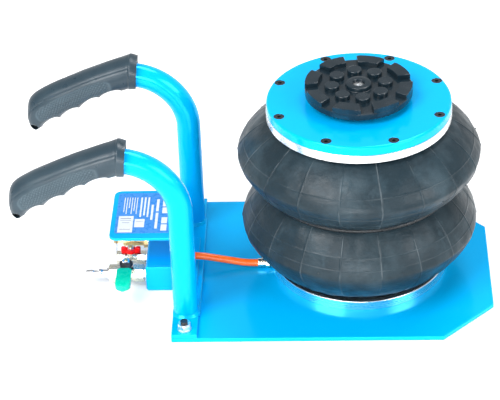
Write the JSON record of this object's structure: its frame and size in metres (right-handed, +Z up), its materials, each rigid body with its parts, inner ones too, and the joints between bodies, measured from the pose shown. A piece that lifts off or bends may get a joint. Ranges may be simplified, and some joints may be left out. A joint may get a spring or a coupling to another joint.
{
  "type": "pneumatic air bag jack",
  "caption": "Portable workshop jack: an air-filled two-lobed rubber bag lifts a round padded disc from a flat steel base; two bent tube handles flank a valve manifold.",
  "frame": {"origin": "on the lifting axis, at the underside of the base plate, where the jack stands on the floor", "axes": "+Z up along the lift; +X from the handles towards the free end of the base; the inlet valve is on the -Y side"},
  "size_m": [0.5181, 0.281, 0.236],
  "materials": {
    "blue_enamel": "gloss",
    "bead_ring_aluminium": "turned, semi-bright",
    "bag_rubber": "satin",
    "pad_rubber": "moulded, slight sheen",
    "grip_plastic": "moulded satin with a textured panel",
    "black_steel": "black oxide",
    "zinc_steel": "bright zinc",
    "plain_steel": "drawn",
    "nickel_brass": "nickel plated",
    "brass": "turned",
    "chrome": "polished",
    "green_vinyl": "dipped vinyl",
    "red_enamel": "gloss",
    "seat_polymer": "moulded",
    "hose_orange": "clear gloss",
    "label_film": "printed film"
  },
  "bodies": {
    "base": {"base_plate": "blue_enamel", "cross_member": "blue_enamel", "near_foot_plate": "blue_enamel", "far_foot_plate": "blue_enamel", "foot_bolts": "black_steel", "foot_washers": "zinc_steel", "foot_nuts": "zinc_steel", "handle_welds": "blue_enamel", "near_handle_tube": "blue_enamel", "far_handle_tube": "blue_enamel", "near_grip": "grip_plastic", "far_grip": "grip_plastic", "manifold_block": "blue_enamel", "manifold_end_caps": "blue_enamel", "label_bracket": "blue_enamel", "label_sticker": "label_film", "valve_nipples": "chrome", "inflate_valve_body": "nickel_brass", "inflate_valve_seats": "seat_polymer", "quick_plug": "chrome", "release_valve_body": "nickel_brass", "release_valve_seats": "seat_polymer", "relief_valve_body": "brass", "relief_valve_spring": "plain_steel", "manifold_hose_fitting": "nickel_brass", "ring_hose_fitting": "nickel_brass", "air_hose": "hose_orange", "bottom_bead_ring": "bead_ring_aluminium", "bottom_screws": "black_steel", "bellows": "bag_rubber", "guide_outer_tube": "plain_steel"},
    "head": {"top_bead_ring": "bead_ring_aluminium", "top_plate": "blue_enamel", "top_screws": "black_steel", "guide_inner_tube": "plain_steel", "bump_stop": "pad_rubber", "pad_spacer": "black_steel", "rubber_pad": "pad_rubber", "pad_screw": "zinc_steel", "pad_screw_nut": "zinc_steel"},
    "hoop": {"girdle_hoop": "black_steel"},
    "guide_middle": {"guide_middle_tube": "plain_steel"},
    "inflate_lever": {"inflate_valve_ball": "chrome", "inflate_valve_stem": "brass", "inflate_lever": "black_steel", "inflate_lever_sleeve": "green_vinyl", "inflate_lever_nut": "chrome"},
    "release_lever": {"release_valve_ball": "chrome", "release_valve_stem": "brass", "release_handle": "red_enamel", "release_handle_nut": "zinc_steel"},
    "relief_stem": {"relief_valve_poppet": "brass", "relief_pull_ring": "zinc_steel"}
  },
  "joints": [
    {"name": "lift", "type": "slide", "parent": "base", "child": "head", "axis": [0, 0, 1], "range_m": [-0.07, 0.08], "stiffness_N_per_m": 2500, "springref_m": 0.0158, "deforming": ["bellows"]},
    {"name": "hoop_rise", "type": "slide", "parent": "base", "child": "hoop", "axis": [0, 0, 1], "range_m": [-0.038, 0.044]},
    {"name": "guide_rise", "type": "slide", "parent": "base", "child": "guide_middle", "axis": [0, 0, 1], "range_m": [-0.036, 0.041]},
    {"name": "inflate_lever_turn", "type": "hinge", "parent": "base", "child": "inflate_lever", "pos_m": [-0.26, -0.04, 0.0165], "axis": [0, 0, 1], "range_deg": [-90, 0]},
    {"name": "release_lever_turn", "type": "hinge", "parent": "base", "child": "release_lever", "pos_m": [-0.257, -0.01, 0.0165], "axis": [0, 0, 1], "range_deg": [0, 90]},
    {"name": "relief_pull", "type": "slide", "parent": "base", "child": "relief_stem", "axis": [-1, 0, 0], "range_m": [0, 0.004], "stiffness_N_per_m": 400, "springref_m": -0.004, "deforming": ["relief_valve_spring"]}
  ],
  "couplings": [
    {"joint": "hoop_rise", "follows": "lift", "ratio": 0.533},
    {"joint": "guide_rise", "follows": "lift", "ratio": 0.5}
  ]
}
